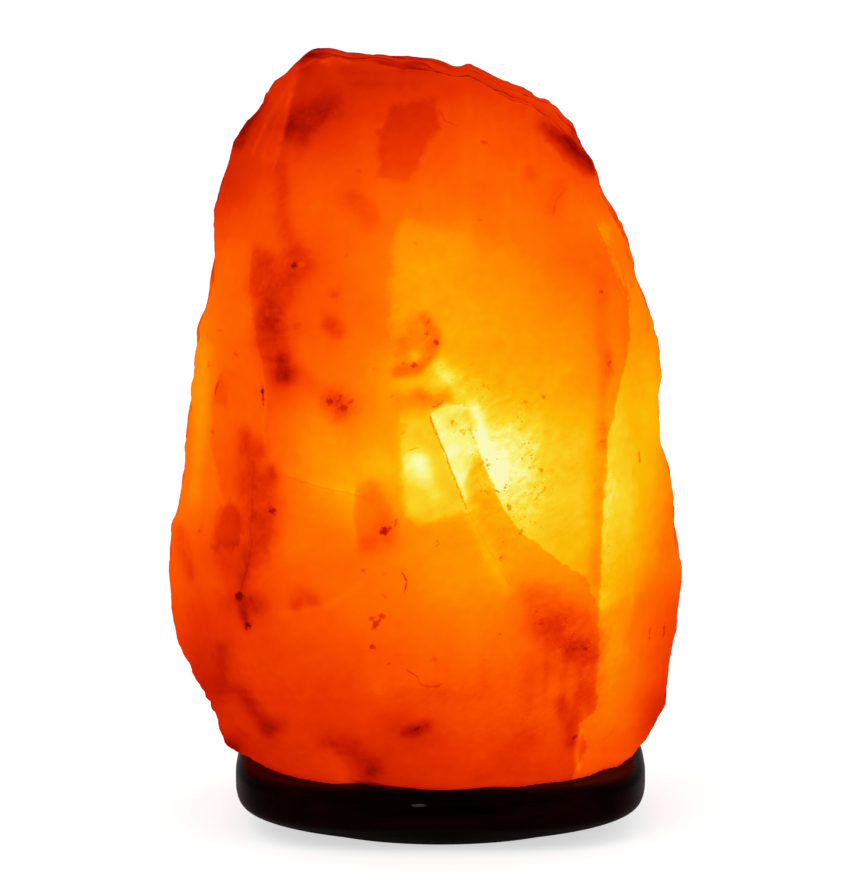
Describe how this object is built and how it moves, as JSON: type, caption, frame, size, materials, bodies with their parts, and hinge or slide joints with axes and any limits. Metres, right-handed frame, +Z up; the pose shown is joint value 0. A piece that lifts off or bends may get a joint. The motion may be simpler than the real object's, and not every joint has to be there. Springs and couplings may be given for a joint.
{
  "type": "salt crystal lamp",
  "caption": "Hewn rock salt block with a bored hollow, lit from inside by a small screw bulb, on an oval stained wood base.",
  "frame": {"origin": "on the axis of the bore, at the plane that the lamp stands on", "axes": "+Z up along the bore; -Y towards the front, as pictured; +X to the right of the front"},
  "size_m": [0.1486, 0.125, 0.226],
  "materials": {
    "rock_salt": "satin",
    "stained_wood": "gloss",
    "foot_rubber": "matte",
    "plug_nylon": "matte",
    "zinc_steel": "satin",
    "plate_steel": "satin",
    "spring_steel": "satin",
    "bakelite": "gloss",
    "bush_plastic": "matte",
    "white_ceramic": "matte",
    "brass": "satin",
    "cap_aluminium": "satin",
    "black_glass": "gloss",
    "solder": "satin",
    "clear_glass": "gloss",
    "lead_wire": "satin",
    "tungsten": "satin"
  },
  "bodies": {
    "lamp": {"salt_crystal": "rock_salt", "wood_base": "stained_wood", "foot_ring": "foot_rubber", "crystal_plugs": "plug_nylon", "base_screws": "zinc_steel", "screw_washers": "zinc_steel"},
    "holder": {"holder_plate": "plate_steel", "clip_pins": "zinc_steel", "clip_spring_left": "spring_steel", "clip_spring_right": "spring_steel", "nipple": "brass", "nipple_nut": "zinc_steel", "lock_washer": "zinc_steel", "cord_bush": "bush_plastic", "socket_cap": "bakelite", "socket_skirt": "bakelite", "socket_core": "white_ceramic", "socket_shell": "brass", "centre_contact": "brass", "side_contact": "brass", "terminal_screws": "brass"},
    "clip_left": {"clip_left": "spring_steel"},
    "clip_right": {"clip_right": "spring_steel"},
    "bulb_tip": {"bulb_contact": "solder"},
    "bulb": {"bulb_cap": "cap_aluminium", "bulb_insulator": "black_glass", "bulb_glass": "clear_glass", "bulb_stem": "clear_glass", "lead_wires": "lead_wire", "filament": "tungsten"}
  },
  "joints": [
    {"name": "holder_slide", "type": "slide", "parent": "lamp", "child": "holder", "axis": [0, 0, 1], "range_m": [-0.125, 0]},
    {"name": "clip_left_fold", "type": "hinge", "parent": "holder", "child": "clip_left", "pos_m": [-0.0165, 0, 0.0161], "axis": [0, 1, 0], "range_deg": [0, 12], "stiffness_Nm_per_rad": 0.03, "springref_deg": -20.05, "deforming": ["clip_spring_left"]},
    {"name": "clip_right_fold", "type": "hinge", "parent": "holder", "child": "clip_right", "pos_m": [0.0165, 0, 0.0161], "axis": [0, -1, 0], "range_deg": [0, 12], "stiffness_Nm_per_rad": 0.03, "springref_deg": -20.05, "deforming": ["clip_spring_right"]},
    {"name": "bulb_rise", "type": "slide", "parent": "holder", "child": "bulb_tip", "axis": [0, 0, 1], "range_m": [0, 0.0114]},
    {"name": "bulb_turn", "type": "hinge", "parent": "bulb_tip", "child": "bulb", "pos_m": [0, 0, 0.06], "axis": [0, 0, 1], "range_deg": [0, 1440]}
  ],
  "couplings": [
    {"joint": "bulb_rise", "follows": "bulb_turn", "m_per_rad": 0.00044913}
  ]
}
